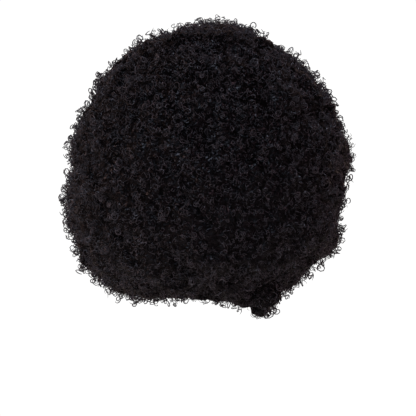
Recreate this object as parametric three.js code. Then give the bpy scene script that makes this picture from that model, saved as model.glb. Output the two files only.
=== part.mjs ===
// Afro wig for an adult: a net cap with rows of tightly curled hair sewn round it.
// Millimetres, +Z up. The face looks towards -Y and the wearer's left is towards +X.
// The origin is the inside of the cap at the crown, where the top of the head touches it.
//
// Places on the wig are given by two angles in degrees about the middle of the head:
// "fall" runs from straight up (0) to straight down (180), and
// "turn" runs round the head from the face (0) by the left ear (90) to the back (180).

import * as THREE from "three";
import { mergeVertices } from "three/addons/utils/BufferGeometryUtils.js";

const { degToRad, radToDeg, lerp, clamp, seededRandom } = THREE.MathUtils;

// Head and neck that the wig is made for
const headWidth = 156; // above the ears
const headLength = 196; // from the forehead to the back of the head
const headRise = 98; // from the middle of the head up to the crown
const neckWidth = 126; // room left inside the hair for the neck

// Net cap
const capWall = 1.5;
const browFall = 72; // the cap's edge on the forehead
const earFall = 107; // the cap's edge above the ears
const earTurn = 96; // where the edge passes over the ear
const napeFall = 128; // the cap's edge at the nape
const napeTurn = 150; // where the edge has come down to the nape

// How far the hair reaches from the middle of the head
const hairTop = 180;
const hairBottom = 178;
const hairSide = 170; // to the left and to the right
const hairBack = 178;
const hairFront = 166;
const hairEndFall = 152; // where the lowest locks end, round the neck
const browTurn = 38; // the hair's edge at the corner of the forehead
const cheekTurn = 54; // beside the ear
const jawTurn = 66; // beside the jaw

// Locks
const lockPitch = 50; // from one lock to the next along a row
const lockReach = 33; // from the middle of a lock to where it runs out
const lockRelief = 15; // how far a lock stands out above the dips between locks
const lockUnevenness = 0.3; // share of the relief by which locks differ in height
const lockDrift = 0.35; // share of their pitch by which locks stand out of line
const lockSeed = 7; // picks one of many ways in which the locks can fall
const lumpHeight = 13; // height of the large lumps named in the table below
const edgeRounding = 24; // degrees over which the hair thins out towards the face
const edgeDepth = 14; // depth of the hair at its edge round the face

// Clearances
const rowGap = 0.3; // between two rows of hair
const seatGap = 0.6; // between the cap and the corners of a row's backing

// Mesh fineness
const hairFacetLength = 12.5; // length of the facets outside
const backingFacetLength = 13.5; // and of those on the cap
const capColumns = 40;
const capSteps = 12;

// The hair's outline, as shares of a plain egg shape of the reaches above.
const outline = [
  { fall: 0, left: 1.0, right: 1.0, back: 1.0, front: 1.0 },
  { fall: 15, left: 0.95, right: 1.0, back: 1.0, front: 0.98 },
  { fall: 30, left: 0.96, right: 0.98, back: 1.01, front: 0.97 },
  { fall: 45, left: 0.97, right: 0.99, back: 0.99, front: 0.98 },
  { fall: 60, left: 0.95, right: 1.01, back: 1.0, front: 1.0 },
  { fall: 75, left: 0.96, right: 1.0, back: 0.99, front: 1.0 },
  { fall: 90, left: 0.95, right: 1.0, back: 1.0, front: 1.0 },
  { fall: 105, left: 1.0, right: 0.99, back: 1.01, front: 0.99 },
  { fall: 120, left: 1.03, right: 1.03, back: 1.02, front: 0.98 },
  { fall: 135, left: 1.05, right: 1.0, back: 1.01, front: 0.97 },
  { fall: 150, left: 1.03, right: 0.96, back: 0.97, front: 0.95 },
  { fall: 165, left: 0.93, right: 0.95, back: 0.93, front: 0.92 },
];

// Large lumps and dips in the outline. Lift is a share of lumpHeight, spread is in degrees.
const lumps = [
  { turn: 90, fall: 20, lift: 0.2, spread: 8 },
  { turn: 90, fall: 60, lift: -0.5, spread: 9 },
  { turn: 90, fall: 98, lift: 0.4, spread: 7 },
  { turn: 90, fall: 126, lift: 0.6, spread: 10 },
  { turn: 270, fall: 10, lift: 0.3, spread: 9 },
  { turn: 270, fall: 32, lift: -0.4, spread: 8 },
  { turn: 270, fall: 43, lift: 0.6, spread: 8 },
  { turn: 270, fall: 60, lift: -0.2, spread: 8 },
  { turn: 270, fall: 86, lift: 0.2, spread: 8 },
  { turn: 270, fall: 118, lift: 0.5, spread: 9 },
  { turn: 270, fall: 131, lift: -0.3, spread: 7 },
  { turn: 236, fall: 153, lift: 1.4, spread: 10 },
  { turn: 160, fall: 96, lift: 0.4, spread: 14 },
  { turn: 205, fall: 68, lift: 0.4, spread: 14 },
  { turn: 30, fall: 50, lift: 0.4, spread: 14 },
  { turn: 335, fall: 44, lift: 0.3, spread: 12 },
];

// Edge of the hair beside the face, from the corner of the forehead down to the jaw.
const templeFall = (browFall + earFall) / 2;
const templeTurn = (browTurn + cheekTurn) / 2 + 1.5;
const lobeFall = lerp(earFall, hairEndFall, 0.4);
const lobeTurn = lerp(cheekTurn, jawTurn, 0.4);
const faceEdge = [
  { fall: browFall, turn: browTurn },
  { fall: templeFall, turn: templeTurn },
  { fall: earFall, turn: cheekTurn },
  { fall: lobeFall, turn: lobeTurn },
  { fall: hairEndFall, turn: jawTurn },
];

// Edge of the cap, from the forehead past the temples and over the ears to the nape.
const capEdge = [
  { turn: 0, fall: browFall },
  { turn: browTurn, fall: browFall },
  { turn: templeTurn, fall: templeFall },
  { turn: cheekTurn, fall: earFall },
  { turn: earTurn, fall: earFall },
  { turn: napeTurn, fall: napeFall },
  { turn: 180, fall: napeFall },
];

// Rows of hair from the crown down. A ring runs all the way round and ends at a share of the
// way down to the forehead's edge. An open row starts and ends beside the face, and ends at a
// share of the way from there to the lowest locks. Tiers are the lines of locks in a row, each
// at a share of the row's height.
const rings = [
  { name: "hair_crown", ends: 0.35, tiers: [0, 0.67] },
  { name: "hair_ring_1", ends: 0.57, tiers: [0.5] },
  { name: "hair_ring_2", ends: 0.79, tiers: [0.5] },
  { name: "hair_ring_3", ends: 1, tiers: [0.5] },
];
const openRows = [
  { name: "hair_row_1", ends: 0.2, tiers: [0.5] },
  { name: "hair_row_2", ends: 0.4, tiers: [0.5] },
  { name: "hair_row_3", ends: 0.6, tiers: [0.5] },
  { name: "hair_nape", ends: 1, tiers: [0.25, 0.75] },
];

const hairMaterial = new THREE.MeshStandardMaterial({ color: 0x151214, roughness: 0.6 });
const netMaterial = new THREE.MeshStandardMaterial({ color: 0x1b191a, roughness: 0.85 });

function direction(fall, turn) {
  const f = degToRad(fall);
  const t = degToRad(turn);
  return new THREE.Vector3(Math.sin(f) * Math.sin(t), -Math.sin(f) * Math.cos(t), Math.cos(f));
}

function pointAt(fall, turn, reach) {
  const middle = new THREE.Vector3(0, 0, -headRise);
  return direction(fall, turn).multiplyScalar(reach).add(middle);
}

// Reads a column of a table between its rows.
function readTable(table, by, at, column) {
  const next = table.findIndex((row) => row[by] > at);
  if (next === 0) return table[0][column];
  if (next < 0) return table[table.length - 1][column];
  const [a, b] = [table[next - 1], table[next]];
  return lerp(a[column], b[column], (at - a[by]) / (b[by] - a[by]));
}

// Distance from the middle to an egg shape with its own reach along each axis.
function eggReach(d, across, along, upright) {
  return 1 / Math.hypot(d.x / across, d.y / along, d.z / upright);
}

function skullReach(fall, turn) {
  return eggReach(direction(fall, turn), headWidth / 2, headLength / 2, headRise);
}

// The hair's backing lies on the cap, and below the cap it stands clear of the neck.
function backingReach(fall, turn) {
  const neck = fall > 90 ? neckWidth / 2 / Math.sin(degToRad(fall)) : 0;
  return Math.max(skullReach(fall, turn), neck) + capWall + seatGap;
}

function lumpLift(fall, turn) {
  const here = direction(fall, turn);
  return lumps.reduce((sum, lump) => {
    const away = radToDeg(here.angleTo(direction(lump.fall, lump.turn))) / lump.spread;
    return sum + lump.lift * lumpHeight * Math.exp(-away * away);
  }, 0);
}

// Outline of the whole head of hair, as if it also covered the face.
function fullReach(fall, turn) {
  const d = direction(fall, turn);
  const side = readTable(outline, "fall", fall, d.x > 0 ? "left" : "right");
  const depth = readTable(outline, "fall", fall, d.y > 0 ? "back" : "front");
  const across = Math.sin(degToRad(turn)) ** 2;
  const plain = eggReach(d, hairSide, d.y > 0 ? hairBack : hairFront, d.z > 0 ? hairTop : hairBottom);
  return plain * lerp(depth, side, across) + lumpLift(fall, turn);
}

function faceTurn(fall) {
  return readTable(faceEdge, "fall", fall, "turn");
}

// Degrees from a place in the hair to the nearest part of its edge round the face.
function degreesFromFace(fall, turn) {
  const fromFront = Math.min(turn, 360 - turn);
  const beside = Math.max(0, fromFront - faceTurn(fall)) * Math.sin(degToRad(fall));
  return fall > browFall ? beside : Math.hypot(browFall - fall, beside);
}

// The hair thins out in a round towards the face, and its locks with it.
function hairReach(fall, turn) {
  const near = clamp(degreesFromFace(fall, turn) / edgeRounding, 0, 1);
  const fullness = Math.sqrt(1 - (1 - near) ** 2);
  const edge = backingReach(fall, turn) + edgeDepth;
  const full = fullReach(fall, turn) + lockRelief * (lockHeight(fall, turn) - 1);
  return lerp(edge, Math.max(edge, full), fullness);
}

// Rows with the falls at which they start and end.
function layOutRows() {
  let from = 0;
  return [...rings, ...openRows].map(({ name, ends, tiers }) => {
    const isRing = rings.some((ring) => ring.name === name);
    const to = isRing ? browFall * ends : lerp(browFall, hairEndFall, ends);
    const row = { name, tiers, isRing, from, to };
    from = to;
    return row;
  });
}

// Turn at a share of the way along a row.
function turnAlong(row, fall, share) {
  const start = row.isRing ? 0 : faceTurn(fall);
  return lerp(start, 360 - start, share);
}

// Length of a row at a fall, measured on the outside of the hair.
function rowLength(row, fall) {
  const turned = turnAlong(row, fall, 1) - turnAlong(row, fall, 0);
  return degToRad(turned) * Math.sin(degToRad(fall)) * hairSide;
}

// Middles and heights of the locks, a little out of line and never all alike.
function layOutLocks(rows) {
  seededRandom(lockSeed);
  const locks = [];
  rows.forEach((row) => {
    row.tiers.forEach((share) => {
      const fall = lerp(row.from, row.to, share);
      const count = Math.max(1, Math.round(rowLength(row, fall) / lockPitch));
      const driftDown = radToDeg(lockPitch / hairSide) * lockDrift * (count > 1 ? 1 : 0);
      for (let i = 0; i < count; i++) {
        const along = (i + 0.5 + lockDrift * (seededRandom() - 0.5)) / count;
        const down = fall + driftDown * (seededRandom() - 0.5);
        const height = 1 + lockUnevenness * (seededRandom() - 0.5);
        locks.push({ middle: direction(down, turnAlong(row, down, along)), height });
      }
    });
  });
  return locks;
}

// Height of the lock that a place belongs to, from 0 in the deepest dips to about 1 on top.
function lockHeight(fall, turn) {
  const here = direction(fall, turn);
  const heights = locks.map(({ middle, height }) => {
    const away = (here.angleTo(middle) * hairSide) / lockReach;
    return height * Math.sqrt(Math.max(0, 1 - away * away));
  });
  return Math.max(...heights);
}

// Skins a closed ring of sections, or an open run of them with a flat end at each side.
// Each section is a loop of points that runs down the outside and up the inside.
function loft(sections, isRing) {
  const corners = [];
  const addTriangle = (a, b, c) => {
    const isFlat = a.distanceTo(b) < 1e-6 || b.distanceTo(c) < 1e-6 || c.distanceTo(a) < 1e-6;
    if (!isFlat) corners.push(a, b, c);
  };
  const last = isRing ? sections.length : sections.length - 1;
  for (let j = 0; j < last; j++) {
    const here = sections[j];
    const beyond = sections[(j + 1) % sections.length];
    here.forEach((a, i) => {
      const k = (i + 1) % here.length;
      addTriangle(a, here[k], beyond[k]);
      addTriangle(a, beyond[k], beyond[i]);
    });
  }
  if (!isRing) {
    closeEnd(sections[0], addTriangle, true);
    closeEnd(sections[sections.length - 1], addTriangle, false);
  }
  const geometry = new THREE.BufferGeometry().setFromPoints(corners);
  return mergeVertices(geometry, 1e-4);
}

// Fills one end of an open run. Its points are laid out flat by height and distance outward.
function closeEnd(section, addTriangle, isFirst) {
  const flat = section.map((p) => new THREE.Vector2(Math.hypot(p.x, p.y), p.z));
  const facing = Math.sign(THREE.ShapeUtils.area(flat)) * (isFirst ? -1 : 1);
  for (const [i, j, k] of THREE.ShapeUtils.triangulateShape(flat, [])) {
    const sense = Math.sign(THREE.ShapeUtils.area([flat[i], flat[j], flat[k]]));
    if (sense === facing) addTriangle(section[i], section[j], section[k]);
    else addTriangle(section[i], section[k], section[j]);
  }
}

function evenly(count, from, to) {
  return Array.from({ length: count + 1 }, (_, i) => lerp(from, to, i / count));
}

// One row of hair: the backing on the cap, and the locks that stand out from it.
function rowOfHair(row) {
  const halfGap = radToDeg(rowGap / 2 / hairSide);
  const top = row.from ? row.from + halfGap : 0;
  const bottom = row.to - halfGap;
  const height = degToRad(bottom - top) * hairSide;
  const backingHeight = (degToRad(bottom - top) * headLength) / 2;
  const length = Math.max(rowLength(row, top), rowLength(row, bottom));
  const columns = Math.round(length / hairFacetLength);
  const columnShares = evenly(columns, 0, 1).slice(0, row.isRing ? -1 : undefined);

  const sections = columnShares.map((share) => {
    const outside = evenly(Math.round(height / hairFacetLength), top, bottom).map((fall) => {
      const turn = turnAlong(row, fall, share);
      return pointAt(fall, turn, hairReach(fall, turn));
    });
    const inside = evenly(Math.ceil(backingHeight / backingFacetLength), bottom, top).map((fall) => {
      const turn = turnAlong(row, fall, share);
      return pointAt(fall, turn, backingReach(fall, turn));
    });
    return [...outside, ...inside];
  });
  return loft(sections, row.isRing);
}

function netCap() {
  const sections = evenly(capColumns, 0, 360)
    .slice(0, -1)
    .map((turn) => {
      const edge = readTable(capEdge, "turn", Math.min(turn, 360 - turn), "fall");
      const outside = evenly(capSteps, 0, edge).map((fall) =>
        pointAt(fall, turn, skullReach(fall, turn) + capWall),
      );
      const inside = evenly(capSteps, edge, 0).map((fall) =>
        pointAt(fall, turn, skullReach(fall, turn)),
      );
      return [...outside, ...inside];
    });
  return loft(sections, true);
}

const rows = layOutRows();
const locks = layOutLocks(rows);
const wig = new THREE.Group();

function addPiece(name, geometry, material) {
  geometry.computeVertexNormals();
  const mesh = new THREE.Mesh(geometry, material);
  mesh.name = name;
  wig.add(mesh);
}

addPiece("cap", netCap(), netMaterial);
for (const row of rows) {
  addPiece(row.name, rowOfHair(row), hairMaterial);
}

export default wig;
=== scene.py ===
# Afro wig seen from behind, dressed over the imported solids.
# Metres, +Z up, face towards -Y, the inside of the cap's crown at the origin.
import math

import bpy
import numpy as np
from mathutils.kdtree import KDTree
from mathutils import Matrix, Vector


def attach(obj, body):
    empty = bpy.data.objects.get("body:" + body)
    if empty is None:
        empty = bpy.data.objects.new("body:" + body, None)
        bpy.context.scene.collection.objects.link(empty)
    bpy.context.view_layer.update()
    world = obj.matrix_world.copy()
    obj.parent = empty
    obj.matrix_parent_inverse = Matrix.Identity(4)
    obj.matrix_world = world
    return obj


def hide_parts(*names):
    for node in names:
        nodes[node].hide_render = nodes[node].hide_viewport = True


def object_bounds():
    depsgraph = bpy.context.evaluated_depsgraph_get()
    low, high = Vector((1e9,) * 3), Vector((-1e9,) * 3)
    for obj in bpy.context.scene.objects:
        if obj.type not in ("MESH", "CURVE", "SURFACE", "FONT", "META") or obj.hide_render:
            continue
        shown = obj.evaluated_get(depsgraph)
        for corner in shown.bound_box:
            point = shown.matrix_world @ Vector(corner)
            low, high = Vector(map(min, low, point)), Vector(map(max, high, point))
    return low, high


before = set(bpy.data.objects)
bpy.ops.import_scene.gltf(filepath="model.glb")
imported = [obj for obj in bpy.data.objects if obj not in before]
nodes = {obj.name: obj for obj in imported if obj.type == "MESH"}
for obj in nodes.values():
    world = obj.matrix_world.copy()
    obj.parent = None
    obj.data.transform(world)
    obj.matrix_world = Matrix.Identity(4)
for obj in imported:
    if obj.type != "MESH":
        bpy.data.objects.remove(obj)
cadLow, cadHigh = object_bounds()
hairNodes = sorted(name for name in nodes if name.startswith("hair_"))
headMiddle = np.array([0, 0, -0.098])
mergeWithin = 0.00002  # corners nearer each other than this are one
print("frame loaded, hair nodes:", hairNodes)


def linearColour(hexColour):
    # sRGB hex to the linear values that Blender's colour sockets take, with alpha
    parts = [int(hexColour[i : i + 2], 16) / 255 for i in (1, 3, 5)]
    return [p / 12.92 if p <= 0.04045 else ((p + 0.055) / 1.055) ** 2.4 for p in parts] + [1.0]


def addNode(tree, kind, settings=None, inputs=None):
    # One node: settings are its own properties, inputs are socket values or (node, output) links
    node = tree.nodes.new(kind)
    for key, value in (settings or {}).items():
        setattr(node, key, value)
    for key, value in (inputs or {}).items():
        if isinstance(value, tuple) and isinstance(value[0], bpy.types.Node):
            tree.links.new(value[0].outputs[value[1]], node.inputs[key])
        else:
            node.inputs[key].default_value = value
    return node


def newMaterial(name):
    material = bpy.data.materials.new(name)
    material.use_nodes = True
    tree = material.node_tree
    tree.nodes.clear()
    return material, tree


def finishMaterial(tree, shader):
    addNode(tree, "ShaderNodeOutputMaterial", inputs={"Surface": (shader, 0)})


def setRamp(node, stops):
    ramp = node.color_ramp
    while len(ramp.elements) < len(stops):
        ramp.elements.new(0.5)
    for element, (place, hexColour) in zip(ramp.elements, stops):
        element.position = place
        element.color = linearColour(hexColour)


def selectOnly(*objects):
    bpy.ops.object.select_all(action="DESELECT")
    for item in objects:
        item.select_set(True)
    bpy.context.view_layer.objects.active = objects[0]


def copyNode(nodeName, pieceName):
    piece = bpy.data.objects.new(pieceName, nodes[nodeName].data.copy())
    bpy.context.scene.collection.objects.link(piece)
    return piece


def applyModifier(piece, kind, **settings):
    modifier = piece.modifiers.new(kind.title(), kind)
    for key, value in settings.items():
        setattr(modifier, key, value)
    selectOnly(piece)
    bpy.ops.object.modifier_apply(modifier=modifier.name)


def vertexPlaces(piece):
    places = np.zeros(len(piece.data.vertices) * 3)
    piece.data.vertices.foreach_get("co", places)
    return places.reshape(-1, 3)


def moveVertices(piece, places):
    piece.data.vertices.foreach_set("co", places.ravel())
    piece.data.update()


# Camera: level, behind the wig, as far off as a portrait lens stands
view = {
    "lens": 100,
    "sensor": 36,
    "frameWidth": 0.4992,  # 416 pixels of 1.2 mm where the wig is widest
    "middle": (-0.0024, 0.0, -0.1416),
}
halfAngle = math.atan(view["sensor"] / 2 / view["lens"])
cameraData = bpy.data.cameras.new("camera")
cameraData.lens = view["lens"]
cameraData.sensor_width = view["sensor"]
camera = bpy.data.objects.new("camera", cameraData)
bpy.context.scene.collection.objects.link(camera)
distance = view["frameWidth"] / 2 / math.tan(halfAngle)
camera.location = (view["middle"][0], view["middle"][1] + distance, view["middle"][2])
camera.rotation_euler = (math.pi / 2, 0, math.pi)
bpy.context.scene.camera = camera

# Studio: white all round, with a pale floor as far below the wig as when it is worn
studio = {
    "floorDrop": 1.65,
    "floorSize": 12,
    "floorColour": "#f4f3f1",
    "floorGlow": 0.75,  # lifts the paper to white as the camera sees it, and lights nothing
    "backdrop": 1.05,  # paper white as the camera sees it
    "surround": 0.05,  # light that comes back from the dark side of the studio
    "behind": 0.5,  # and from the white paper behind the wig
    "behindColour": "#ffdcd6",
}
lamps = {
    "floor_lamp": {"power": 70, "size": 11, "place": (0, 0, -0.8), "colour": "#fff0e4"},
    "key": {"power": 38, "size": 1.1, "place": (0.9, 2.05, 1.05), "colour": "#e4f3ff"},
    "fill": {"power": 18, "size": 1.1, "place": (-1.6, 1.7, 0.5), "colour": "#ffd8de"},
    "side": {"power": 18, "size": 1.1, "place": (2.2, 0.5, 0.2), "colour": "#ffd6c6"},
}
world = bpy.data.worlds.new("studio")
bpy.context.scene.world = world
world.use_nodes = True
tree = world.node_tree
tree.nodes.clear()
seen = addNode(tree, "ShaderNodeLightPath")
direction = addNode(tree, "ShaderNodeTexCoord")
axes = addNode(tree, "ShaderNodeSeparateXYZ", inputs={0: (direction, "Generated")})
paperLight = addNode(
    tree,
    "ShaderNodeMapRange",
    {"interpolation_type": "SMOOTHSTEP"},
    {
        "Value": (axes, "Y"),
        "From Min": -0.2,
        "From Max": -0.9,
        "To Min": studio["surround"],
        "To Max": studio["behind"],
    },
)
brightness = addNode(
    tree,
    "ShaderNodeMix",
    inputs={0: (seen, "Is Camera Ray"), 2: (paperLight, 0), 3: studio["backdrop"]},
)
tint = addNode(
    tree,
    "ShaderNodeMix",
    {"data_type": "RGBA"},
    {0: (seen, "Is Camera Ray"), 6: linearColour(studio["behindColour"]), 7: (1, 1, 1, 1)},
)
walls = addNode(
    tree, "ShaderNodeBackground", inputs={"Color": (tint, 2), "Strength": (brightness, 0)}
)
addNode(tree, "ShaderNodeOutputWorld", inputs={"Surface": (walls, 0)})
bpy.context.scene.view_settings.view_transform = "Standard"

bpy.ops.mesh.primitive_plane_add(size=studio["floorSize"], location=(0, 0, -studio["floorDrop"]))
floor = bpy.context.object
floor.name = "floor"
floorPaper, tree = newMaterial("matt white background paper")
paperGrain = addNode(tree, "ShaderNodeTexNoise", inputs={"Scale": 180.0, "Detail": 4.0})
paperBump = addNode(
    tree,
    "ShaderNodeBump",
    inputs={"Strength": 0.05, "Distance": 0.001, "Height": (paperGrain, 0)},
)
seen = addNode(tree, "ShaderNodeLightPath")
paperGlow = addNode(
    tree,
    "ShaderNodeMath",
    {"operation": "MULTIPLY"},
    {0: (seen, "Is Camera Ray"), 1: studio["floorGlow"]},
)
paper = addNode(
    tree,
    "ShaderNodeBsdfPrincipled",
    inputs={
        "Base Color": linearColour(studio["floorColour"]),
        "Roughness": 0.9,
        "Emission Color": (1, 1, 1, 1),
        "Emission Strength": (paperGlow, 0),
        "Normal": (paperBump, 0),
    },
)
finishMaterial(tree, paper)
floorPaper.cycles.emission_sampling = "NONE"
floor.data.materials.append(floorPaper)


def addSoftbox(name, power, size, place, colour):
    # A soft square lamp aimed at the wig
    lamp = bpy.data.lights.new(name, "AREA")
    lamp.energy = power
    lamp.size = size
    lamp.color = linearColour(colour)[:3]
    box = bpy.data.objects.new(name, lamp)
    bpy.context.scene.collection.objects.link(box)
    box.location = place
    aim = np.array(view["middle"]) - np.array(place)
    fromAbove = math.atan2(math.hypot(aim[0], aim[1]), -aim[2])
    box.rotation_euler = (fromAbove, 0, math.atan2(aim[1], aim[0]) - math.pi / 2)


for name, settings in lamps.items():
    addSoftbox(name, **settings)
# This one shines straight down at the floor, which throws it back up
bpy.data.objects["floor_lamp"].rotation_euler = (0, 0, 0)
print("camera and studio set")

# Hair mass: the rows drawn together into one dense body of hair that the curls grow from
mass = {
    "closeGaps": 0.0006,
    "roughVoxel": 0.004,
    "voxel": 0.0034,
    "smoothing": 5,
    "inset": 0.0015,  # of the dense body under the tips of the curls
    "clumpSize": 0.018,
    "clumpDepth": 0.013,
    "crumbSize": 0.005,
    "crumbDepth": 0.005,
    "capClear": 0.0022,
    "headHalf": (0.078, 0.098, 0.098),
    "neckHalf": 0.063,
    "napeLock": (-0.069, 0.064, -0.241),  # the lock that hangs lowest at the back
    "napeLockHalf": (0.023, 0.024, 0.018),
    "edgeCalm": 0.8,  # share of the clumps that the edge seen from behind goes without
    "edgeInset": 5,  # in mm, of the edge between its locks
    "edgeMiddle": (0.0, -0.09),  # x and z about which the edge seen from behind is measured
    "edgeBand": 0.16,
}
rowCopies = [copyNode(name, name + "_copy") for name in hairNodes]
bpy.ops.mesh.primitive_ico_sphere_add(
    subdivisions=4, location=mass["napeLock"], scale=mass["napeLockHalf"]
)
bpy.ops.object.transform_apply(location=True, rotation=False, scale=True)
selectOnly(*rowCopies, bpy.context.object)
bpy.ops.object.join()
hairMass = bpy.context.object
hairMass.name = "hair_mass"
bpy.ops.object.mode_set(mode="EDIT")
bpy.ops.mesh.select_all(action="SELECT")
bpy.ops.mesh.remove_doubles(threshold=mergeWithin)
bpy.ops.object.mode_set(mode="OBJECT")
applyModifier(hairMass, "DISPLACE", strength=mass["closeGaps"], mid_level=0.0)
applyModifier(hairMass, "REMESH", mode="VOXEL", voxel_size=mass["roughVoxel"])
applyModifier(hairMass, "SMOOTH", factor=0.5, iterations=mass["smoothing"])


def reachFromMiddle(places):
    # How far out each place is from the head's middle: 1 at the head's surface
    return np.linalg.norm((places - headMiddle) / np.array(mass["headHalf"]), axis=1)


# The edge seen from behind: locks that stand out from it or lie back, each at an angle from the
# top round over the wearer's right side. Columns: degrees round, mm out, degrees wide
edgeLocks = [
    (38, -8, 7),
    (62, 4, 3),
    (68, -9, 4),
    (79, 7, 5),
    (90, 8, 4),
    (97, -11, 3),
    (105, 7, 3),
    (112, -10, 4),
    (122, 10, 5),
    (132, -9, 4),
    (142, 6, 4),
    (151, -13, 3),
    (163, 23, 4),
    (178, 13, 7),
    (197, 5, 4),
    (203, -8, 3),
    (222, 6, 6),
    (235, -9, 3),
    (248, 6, 6),
    (258, 5, 3),
    (282, 7, 7),
    (297, -4, 6),
    (322, -9, 5),
    (339, 6, 3),
    (349, -8, 8),
]


def edgeShare(normals):
    # 1 where the surface is edge-on to someone straight behind, falling to 0 where it faces them
    return np.exp(-0.5 * (normals[:, 1] / mass["edgeBand"]) ** 2)


def silhouetteShare():
    # That share at every corner of the hair mass
    normals = np.zeros(len(hairMass.data.vertices) * 3)
    hairMass.data.vertices.foreach_get("normal", normals)
    return edgeShare(normals.reshape(-1, 3))


def standOut(share):
    # Moves the edge seen from behind out or in by its locks, and the rest by its share of that
    places = vertexPlaces(hairMass)
    x = places[:, 0] - mass["edgeMiddle"][0]
    z = places[:, 2] - mass["edgeMiddle"][1]
    angle = np.degrees(np.arctan2(-x, z)) % 360
    push = np.full(len(places), -float(mass["edgeInset"]))
    for lockAt, out, wide in edgeLocks:
        away = (angle - lockAt + 180) % 360 - 180
        push += out * np.exp(-0.5 * (away / wide) ** 2)
    push *= share / 1000
    far = np.hypot(x, z)
    places[:, 0] += push * x / far
    places[:, 2] += push * z / far
    moveVertices(hairMass, places)


applyModifier(hairMass, "DISPLACE", strength=-mass["inset"], mid_level=0.0)
standOut(silhouetteShare())
applyModifier(hairMass, "REMESH", mode="VOXEL", voxel_size=mass["voxel"])
applyModifier(hairMass, "SMOOTH", factor=0.5, iterations=mass["smoothing"])
calm = hairMass.vertex_groups.new(name="clumps")
for index, share in enumerate(silhouetteShare()):
    calm.add([index], 1 - mass["edgeCalm"] * float(share), "REPLACE")
for size, depth in (("clumpSize", "clumpDepth"), ("crumbSize", "crumbDepth")):
    clouds = bpy.data.textures.new(size, "CLOUDS")
    clouds.noise_scale = mass[size]
    clouds.noise_depth = 1
    applyModifier(
        hairMass,
        "DISPLACE",
        texture=clouds,
        texture_coords="LOCAL",
        strength=mass[depth],
        mid_level=0.5,
        vertex_group="clumps" if size == "clumpSize" else "",
    )


def keepOffHead(piece):
    # Pushes what has strayed into the cap back out to its outside, and out of the neck's room
    places = vertexPlaces(piece) - headMiddle
    half = np.array(mass["headHalf"]) + mass["capClear"]
    inside = np.linalg.norm(places / half, axis=1)
    places /= np.minimum(inside, 1)[:, None]
    fromAxis = np.linalg.norm(places[:, :2], axis=1)
    neck = mass["neckHalf"] + mass["capClear"]
    low = (places[:, 2] < 0) & (fromAxis < neck)
    places[low, :2] *= (neck / fromAxis[low])[:, None]
    moveVertices(piece, places + headMiddle)


keepOffHead(hairMass)
bpy.ops.object.shade_smooth()
print("hair mass:", len(hairMass.data.polygons), "faces")

# Curls: coils of fibre rooted in the mass and gathered into locks
locks = {
    "count": 1400,
    "spacing": 0.011,
    "top": 0.01,  # where the curls of a lock lean together, above its middle
    "lean": 0.02,  # and how far that place strays
    "capReach": 1.06,  # no curls grow nearer the head than this share of its own size
    "fullReach": 0.5,  # and they grow as densely as anywhere from this share further out
    "leastShare": 0.25,
    "tries": 6,  # places tried for each one kept
    "seed": 11,
}
shortCurls = {
    "count": 8400,
    "spacing": 0.0034,
    "stalkSteps": 1,
    "coilSteps": 9,
    "strand": 0.0003,
    "stalk": (0.0, 0.0015),
    "coil": (0.0015, 0.003),
    "turns": (0.8, 1.5),
    "pitch": (0.003, 0.005),
    "upright": -0.3,
    "stray": 0.7,
    "moreAtEdge": 0.0,
}
tallCurls = {
    "count": 3900,
    "spacing": 0.0048,
    "stalkSteps": 2,
    "coilSteps": 11,
    "strand": 0.00038,
    "stalk": (0.0, 0.0085),
    "coil": (0.0018, 0.0034),
    "turns": (1.0, 1.9),
    "pitch": (0.0018, 0.0036),
    "upright": 0.2,
    "stray": 0.9,
    "moreAtEdge": 2.0,
}
curlRoom = 0.0095  # how far a curl may stand out beyond the solids' box
wobble = {
    "stalkLean": 0.5,
    "stalkStray": 0.3,
    "flatness": 0.3,
    "tightening": 0.35,
    "startRadius": 0.15,  # share of a coil's radius at its first step
    "opening": 8,  # and how fast it opens out to all of it
    "bend": 0.0016,
    "waver": 0.0004,
    "waves": (0.8, 2.2),
}
# Curls on the edge seen from behind: they show as wide rings of several strands and stand out
# further, most of all beside the nape
edgeCurls = {
    "turned": 1.0,
    "thicker": 0.8,
    "wider": 0.5,
    "taller": 0.2,
    "tallest": 0.3,
    "from": -0.13,  # height at which they start to stand taller
    "to": -0.19,  # and at which they are tallest
}


def scatterOn(piece, count, spacing, moreAtEdge, rng):
    # Points spread over the outside, none nearer another than the spacing, with their normals
    data = piece.data
    data.calc_loop_triangles()
    corners = np.zeros(len(data.loop_triangles) * 3, int)
    data.loop_triangles.foreach_get("vertices", corners)
    triangle = vertexPlaces(piece)[corners.reshape(-1, 3)]
    cross = np.cross(triangle[:, 1] - triangle[:, 0], triangle[:, 2] - triangle[:, 0])
    area = np.linalg.norm(cross, axis=1) / 2
    normal = cross / (2 * area + 1e-15)[:, None]
    reach = reachFromMiddle(triangle.mean(1))
    outside = np.clip((reach - locks["capReach"]) / locks["fullReach"], locks["leastShare"], 1)
    weight = area * np.where(reach < locks["capReach"], 0, outside)
    weight *= 1 + moreAtEdge * edgeShare(normal)
    chosen = rng.choice(len(area), size=count * locks["tries"], p=weight / weight.sum())
    shares = rng.dirichlet((1, 1, 1), size=len(chosen))
    places = (triangle[chosen] * shares[:, :, None]).sum(1)
    taken = {}
    kept = []
    for index, place in enumerate(places):
        cell = tuple(np.floor(place / spacing).astype(int))
        near = [
            other
            for x in (-1, 0, 1)
            for y in (-1, 0, 1)
            for z in (-1, 0, 1)
            for other in taken.get((cell[0] + x, cell[1] + y, cell[2] + z), ())
        ]
        if near and np.min(np.sum((places[near] - place) ** 2, axis=1)) < spacing**2:
            continue
        taken.setdefault(cell, []).append(index)
        kept.append(index)
        if len(kept) == count:
            break
    return places[kept], normal[chosen[kept]]


def unit(vectors):
    return vectors / np.linalg.norm(vectors, axis=-1, keepdims=True)


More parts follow.
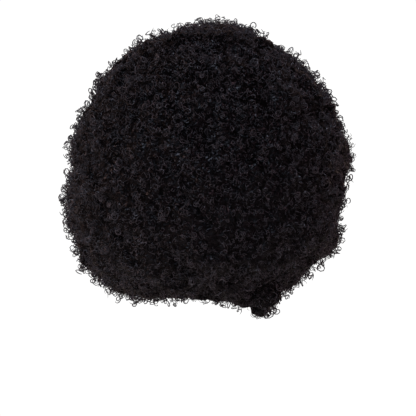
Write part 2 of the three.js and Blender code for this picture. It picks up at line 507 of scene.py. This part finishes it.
rng = np.random.default_rng(locks["seed"])
lockPlaces, lockNormals = scatterOn(hairMass, locks["count"], locks["spacing"], 0, rng)
lockTops = lockPlaces + locks["top"] * lockNormals
lockTops += locks["lean"] * rng.normal(size=lockTops.shape)
lockTree = KDTree(len(lockPlaces))
for index, place in enumerate(lockPlaces):
    lockTree.insert(place, index)
lockTree.balance()


def coilPlaces(places, normals, curl):
    # Middle line of every curl, a stalk and then a coil: an array of curl, step and coordinate,
    # and two directions across it at every step
    n = len(places)
    lock = [lockTree.find(place)[1] for place in places]
    axis = unit(lockTops[lock] - places)
    stalk = normals + wobble["stalkLean"] * axis
    stalk = unit(stalk + wobble["stalkStray"] * rng.normal(size=(n, 3)))
    axis = unit(axis + curl["stray"] * rng.normal(size=(n, 3)))
    axis = unit(axis + curl["upright"] * rng.random((n, 1)) * normals)
    turned = edgeCurls["turned"] * edgeShare(normals) * rng.choice([-1, 1], n)
    axis = unit(axis + turned[:, None] * np.array([0, 1, 0]))
    across = unit(np.cross(axis, rng.normal(size=(n, 3))))
    along = np.cross(axis, across)
    across = across * (1 - wobble["flatness"] * rng.random((n, 1)))
    up = np.linspace(0, 1, curl["stalkSteps"], endpoint=False)
    up = np.append(up, np.ones(curl["coilSteps"] + 1))[None, :]
    coiled = np.linspace(0, 1, curl["coilSteps"] + 1)
    coiled = np.append(np.zeros(curl["stalkSteps"]), coiled)[None, :]
    turns = rng.uniform(*curl["turns"], n)[:, None]
    height = rng.uniform(*curl["stalk"], n)[:, None] * up
    low = (places[:, 2] - edgeCurls["from"]) / (edgeCurls["to"] - edgeCurls["from"])
    low = np.clip(low, 0, 1)
    taller = edgeCurls["taller"] + low * (edgeCurls["tallest"] - edgeCurls["taller"])
    height = height * (1 + taller * edgeShare(normals))[:, None]
    rise = rng.uniform(*curl["pitch"], n)[:, None] * turns * coiled
    radius = rng.uniform(*curl["coil"], n)[:, None]
    radius = radius * (1 + edgeCurls["wider"] * edgeShare(normals)[:, None])
    radius = radius * (1 - wobble["tightening"] * coiled * rng.random((n, 1)))
    radius = radius * np.minimum(1, wobble["startRadius"] + wobble["opening"] * coiled)
    angle = 2 * np.pi * turns * coiled * rng.choice([-1, 1], n)[:, None]
    outward = (
        np.cos(angle)[:, :, None] * across[:, None] + np.sin(angle)[:, :, None] * along[:, None]
    )
    line = places[:, None] + height[:, :, None] * stalk[:, None]
    line = line + rise[:, :, None] * axis[:, None] + radius[:, :, None] * outward
    bend = wobble["bend"] * rng.normal(size=(n, 1, 3)) * coiled[:, :, None] ** 2
    waves = rng.uniform(*wobble["waves"], (n, 1, 3)) * coiled[:, :, None]
    phase = 2 * np.pi * (waves + rng.random((n, 1, 3)))
    line = line + bend + wobble["waver"] * np.sin(phase)
    tooHigh = np.maximum(line.max(axis=1) - np.array(cadHigh) - curlRoom, 0)
    tooLow = np.minimum(line.min(axis=1) - np.array(cadLow) + curlRoom, 0)
    line = line - (tooHigh + tooLow)[:, None]
    tangent = unit(np.gradient(line, axis=1))
    beside = unit(np.cross(tangent, outward))
    return line, np.cross(beside, tangent), beside


tips = {"thin": 0.35, "growth": 3}  # share of a tube's width at its ends, and how fast it grows


def tubeMesh(name, strand, line, first, second, sides=3):
    # Closed tubes along the lines, thinner at both ends
    n, steps, _ = line.shape
    around = 2 * np.pi * np.arange(sides) / sides
    fromEnd = np.minimum(np.linspace(0, 1, steps), np.linspace(1, 0, steps))
    thin = np.minimum(1, tips["thin"] + tips["growth"] * fromEnd)
    ring = (
        np.cos(around)[None, None, :, None] * first[:, :, None]
        + np.sin(around)[None, None, :, None] * second[:, :, None]
    )
    places = line[:, :, None] + strand[:, None, None, None] * thin[None, :, None, None] * ring
    corner = np.arange(n * steps * sides).reshape(n, steps, sides)
    beyond = np.roll(corner, -1, axis=2)
    quads = np.stack(
        [corner[:, :-1], beyond[:, :-1], beyond[:, 1:], corner[:, 1:]], axis=-1
    ).reshape(-1, 4)
    ends = np.concatenate([corner[:, 0, ::-1], corner[:, -1]])
    data = bpy.data.meshes.new(name)
    data.vertices.add(places.size // 3)
    data.vertices.foreach_set("co", places.ravel())
    data.loops.add(quads.size + ends.size)
    data.loops.foreach_set("vertex_index", np.concatenate([quads.ravel(), ends.ravel()]))
    data.polygons.add(len(quads) + len(ends))
    starts = np.concatenate(
        [np.arange(len(quads)) * 4, quads.size + np.arange(len(ends)) * sides]
    )
    data.polygons.foreach_set("loop_start", starts)
    data.polygons.foreach_set("use_smooth", np.ones(len(quads) + len(ends), bool))
    data.update(calc_edges=True)
    piece = bpy.data.objects.new(name, data)
    bpy.context.scene.collection.objects.link(piece)
    return piece


def growCurls(curl, names):
    # One piece for each name, from the crown down
    places, normals = scatterOn(
        hairMass, curl["count"], curl["spacing"], curl["moreAtEdge"], rng
    )
    fromCrown = np.argsort(-places[:, 2])
    pieces = []
    for name, members in zip(names, np.array_split(fromCrown, len(names))):
        line, first, second = coilPlaces(places[members], normals[members], curl)
        strand = curl["strand"] * (1 + edgeCurls["thicker"] * edgeShare(normals[members]))
        pieces.append(tubeMesh(name, strand, line, first, second))
    print(names[0].split("_")[0], "curls:", len(places))
    return pieces


curlPieces = growCurls(shortCurls, ["short_crown", "short_upper", "short_lower", "short_nape"])
curlPieces += growCurls(tallCurls, ["tall_crown", "tall_nape"])
for piece in [hairMass] + curlPieces:
    print(piece.name, sum(len(face.vertices) - 2 for face in piece.data.polygons), "triangles")

# Cap: a shell of stretch net, wefts sewn round its inside and a binding along its edge.
# Turns are degrees round from the face, falls are degrees down from the crown
cap = {
    "columns": 96,
    "steps": 28,
    "netOut": 0.0015,  # faces of the net, out from the head
    "netIn": 0.0005,
    "edge": [(0, 72), (38, 72), (47.5, 89.5), (54, 107), (96, 107), (150, 128), (180, 128)],
    "edgeSamples": 721,  # turns at which a weft looks for the edge
    "cornerRounding": (-6, -3, 0, 3, 6),
    "smoothAngle": 40,
    "weftFalls": (7, 120, 7),
    "weftOffEdge": 4,  # degrees that the wefts keep off the edge
    "weftSteps": 110,
    "weftHigh": 0.0005,  # half sizes of the wefts, and below of the binding
    "weftWide": 0.0016,
    "bindingSteps": 260,
    "bindingOverlap": 3,
    "bindingHigh": 0.00095,
    "bindingWide": 0.004,
    "bindingUp": 0.8,  # share of its half width that its middle lies above the net's edge
}


def capEdge(turn):
    # Where the cap ends, in degrees down from the crown, at degrees round from the face
    turns, falls = zip(*cap["edge"])
    near = [180 - np.abs(180 - (turn + offset) % 360) for offset in cap["cornerRounding"]]
    return np.mean([np.interp(t, turns, falls) for t in near], axis=0)


def capPlaces(turn, fall, out):
    # Places at a distance out from the head's surface
    t, f = np.radians(turn), np.radians(fall)
    ways = np.stack([np.sin(f) * np.sin(t), -np.sin(f) * np.cos(t), np.cos(f) + 0 * t], axis=-1)
    reach = 1 / np.linalg.norm(ways / np.array(mass["headHalf"]), axis=-1) + out
    return headMiddle + ways * reach[..., None]


rims = 2 * cap["steps"] + 1
bpy.ops.mesh.primitive_grid_add(x_subdivisions=cap["columns"], y_subdivisions=rims, size=2)
netCap = bpy.context.object
netCap.name = "net_cap"
grid = vertexPlaces(netCap)
around = 180 * (grid[:, 0] + 1)
along = np.round((grid[:, 1] + 1) / 2 * rims)
isInside = along > cap["steps"]
down = np.where(isInside, rims - along, along) / cap["steps"]
out = np.where(isInside, cap["netIn"], cap["netOut"])
moveVertices(netCap, capPlaces(around, down * capEdge(around), out))
selectOnly(netCap)
bpy.ops.object.mode_set(mode="EDIT")
bpy.ops.mesh.select_all(action="SELECT")
bpy.ops.mesh.remove_doubles(threshold=mergeWithin)
bpy.ops.mesh.normals_make_consistent(inside=False)
bpy.ops.object.mode_set(mode="OBJECT")
bpy.ops.object.shade_smooth_by_angle(angle=math.radians(cap["smoothAngle"]))


def bandOnCap(name, turns, falls, out, high, wide, sides):
    # Flat bands laid along lines on the cap
    line = capPlaces(turns, falls, out)
    tangent = unit(np.gradient(line, axis=1))
    inward = unit(headMiddle - line)
    beside = unit(np.cross(tangent, inward))
    return tubeMesh(name, np.ones(len(line)), line, inward * high, beside * wide, sides)


weftFalls = np.arange(*cap["weftFalls"])[:, None]
oneSide = np.linspace(0, 180, cap["edgeSamples"])
deepEnough = capEdge(oneSide) > weftFalls + cap["weftOffEdge"]
starts = oneSide[np.argmax(deepEnough, axis=1)][:, None]
turns = starts + (360 - 2 * starts) * np.linspace(0, 1, cap["weftSteps"])
wefts = bandOnCap(
    "cap_wefts", turns, weftFalls + 0 * turns, cap["netIn"], cap["weftHigh"], cap["weftWide"], 4
)
halfWay = 180 + cap["bindingOverlap"]
turns = np.linspace(-halfWay, halfWay, cap["bindingSteps"])[None]
upFromEdge = np.degrees(cap["bindingWide"] * cap["bindingUp"] / mass["headHalf"][2])
binding = bandOnCap(
    "cap_binding",
    turns,
    capEdge(turns) - upFromEdge,
    (cap["netIn"] + cap["netOut"]) / 2,
    cap["bindingHigh"],
    cap["bindingWide"],
    8,
)
print("cap faces:", [len(piece.data.polygons) for piece in (netCap, wefts, binding)])
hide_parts("cap")
print("cap made")

# Modacrylic fibre, extruded and heat curled: near black, each strand a little flat and twisted,
# so that it shines in short dashes and is dull between them. Its colour is also painted lighter
# in those dashes, a painted highlight on top of the real shine
fibre = {
    "dark": "#020202",
    "light": "#161215",
    "dash": 0.0022,
    "dullBelow": 0.4,  # levels of the twist between which dull turns to shiny
    "shinyAbove": 0.6,
    "shiny": 0.25,
    "dull": 1.0,
    "specular": 1.1,
    "shineTint": "#f0ecfc",
}
curledFibre, tree = newMaterial("heat curled modacrylic fibre")
where = addNode(tree, "ShaderNodeTexCoord")
twistAndPaintedShine = addNode(
    tree,
    "ShaderNodeTexNoise",
    inputs={"Vector": (where, "Object"), "Scale": 1 / fibre["dash"], "Detail": 1.0},
)
# Painted highlight: the base colour turns lighter where the fibre turns shiny
paintedLightColour = addNode(tree, "ShaderNodeValToRGB", inputs={"Fac": (twistAndPaintedShine, 0)})
setRamp(paintedLightColour, [(fibre["dullBelow"], fibre["dark"]), (fibre["shinyAbove"], fibre["light"])])
dullness = addNode(
    tree,
    "ShaderNodeMapRange",
    inputs={
        "Value": (twistAndPaintedShine, 0),
        "From Min": fibre["dullBelow"],
        "From Max": fibre["shinyAbove"],
        "To Min": fibre["dull"],
        "To Max": fibre["shiny"],
    },
)
strandShader = addNode(
    tree,
    "ShaderNodeBsdfPrincipled",
    inputs={
        "Base Color": (paintedLightColour, 0),
        "Roughness": (dullness, 0),
        "Specular IOR Level": fibre["specular"],
        "Specular Tint": linearColour(fibre["shineTint"]),
    },
)
finishMaterial(tree, strandShader)

# The same fibre seen as a dense mass: strands that lie side by side in arcs and rings.
# Its colour is painted far darker than the curls' fibre, painted shade for the depths between
# the curls, and darker in the grooves between the arcs than along their tops, painted shade in
# the grooves
strandArcsAndPaintedShade = {
    "arc": 0.011,
    "perArc": 9.0,
    # Painted shade: both colours are far darker than the curls' fibre, for the shade deep in the
    # hair
    "dark": "#010101",
    "light": "#040304",
    "depth": 0.0012,
}
denseFibrePaintedShade, tree = newMaterial("dense curled modacrylic fibre, painted shade")
where = addNode(tree, "ShaderNodeTexCoord")
hills = addNode(
    tree,
    "ShaderNodeTexNoise",
    inputs={
        "Vector": (where, "Object"),
        "Scale": 1 / strandArcsAndPaintedShade["arc"],
        "Detail": 1.0,
        "Distortion": 0.6,
    },
)
contours = addNode(
    tree,
    "ShaderNodeMath",
    {"operation": "MULTIPLY"},
    {0: (hills, 0), 1: 2 * math.pi * strandArcsAndPaintedShade["perArc"]},
)
wave = addNode(tree, "ShaderNodeMath", {"operation": "SINE"}, {0: (contours, 0)})
level = addNode(
    tree,
    "ShaderNodeMapRange",
    inputs={"Value": (wave, 0), "From Min": -1.0, "From Max": 1.0},
)
# Painted shade: darker in the grooves between the arcs, lighter along their tops
paintedLightColour = addNode(tree, "ShaderNodeValToRGB", inputs={"Fac": (level, 0)})
setRamp(paintedLightColour, [(0.3, strandArcsAndPaintedShade["dark"]), (1.0, strandArcsAndPaintedShade["light"])])
bump = addNode(
    tree,
    "ShaderNodeBump",
    inputs={"Strength": 0.9, "Distance": strandArcsAndPaintedShade["depth"], "Height": (level, 0)},
)
massShader = addNode(
    tree,
    "ShaderNodeBsdfPrincipled",
    inputs={
        "Base Color": (paintedLightColour, 0),
        "Roughness": 0.2,
        "Specular IOR Level": 0.14,
        "Specular Tint": linearColour(fibre["shineTint"]),
        "Normal": (bump, 0),
    },
)
finishMaterial(tree, massShader)

# Knitted polyamide stretch net: matt black threads 2.4 mm apart with dark holes between them
net = {"mesh": 0.0024, "thread": "#2a2729", "hole": "#080708"}
stretchNet, tree = newMaterial("knitted polyamide net")
where = addNode(tree, "ShaderNodeTexCoord")
holes = addNode(
    tree,
    "ShaderNodeTexVoronoi",
    {"feature": "DISTANCE_TO_EDGE"},
    {"Vector": (where, "Object"), "Scale": 1 / net["mesh"], "Randomness": 0.3},
)
threads = addNode(tree, "ShaderNodeValToRGB", inputs={"Fac": (holes, 0)})
setRamp(threads, [(0.12, net["thread"]), (0.2, net["hole"])])
netBump = addNode(
    tree,
    "ShaderNodeBump",
    {"invert": True},
    {"Strength": 0.6, "Distance": 0.0004, "Height": (holes, 0)},
)
netShader = addNode(
    tree,
    "ShaderNodeBsdfPrincipled",
    inputs={"Base Color": (threads, 0), "Roughness": 0.85, "Normal": (netBump, 0)},
)
finishMaterial(tree, netShader)

# Spun polyester thread and tape: rows of stitches, with a dull shine painted lighter along their
# tops and painted shade in the hollows between them
stitch = {"length": 0.0016, "dark": "#0d0b0c", "light": "#262224"}
sewnThread, tree = newMaterial("sewn polyester thread")
where = addNode(tree, "ShaderNodeTexCoord")
stitches = addNode(
    tree,
    "ShaderNodeTexNoise",
    inputs={"Vector": (where, "Object"), "Scale": 1 / stitch["length"], "Detail": 1.0},
)
# Painted highlight: lighter along the raised tops of the stitches, darker between them
stitchPaintedShine = addNode(tree, "ShaderNodeValToRGB", inputs={"Fac": (stitches, 0)})
setRamp(stitchPaintedShine, [(0.35, stitch["dark"]), (0.65, stitch["light"])])
threadBump = addNode(
    tree,
    "ShaderNodeBump",
    inputs={"Strength": 0.7, "Distance": 0.0004, "Height": (stitches, 0)},
)
threadShader = addNode(
    tree,
    "ShaderNodeBsdfPrincipled",
    inputs={"Base Color": (stitchPaintedShine, 0), "Roughness": 0.55, "Normal": (threadBump, 0)},
)
finishMaterial(tree, threadShader)


def dress(piece, material):
    piece.data.materials.clear()
    piece.data.materials.append(material)
    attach(piece, "root")


dress(hairMass, denseFibrePaintedShade)
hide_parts(*hairNodes)
for piece in curlPieces:
    dress(piece, curledFibre)
dress(netCap, stretchNet)
for piece in (wefts, binding):
    dress(piece, sewnThread)
print("materials on")
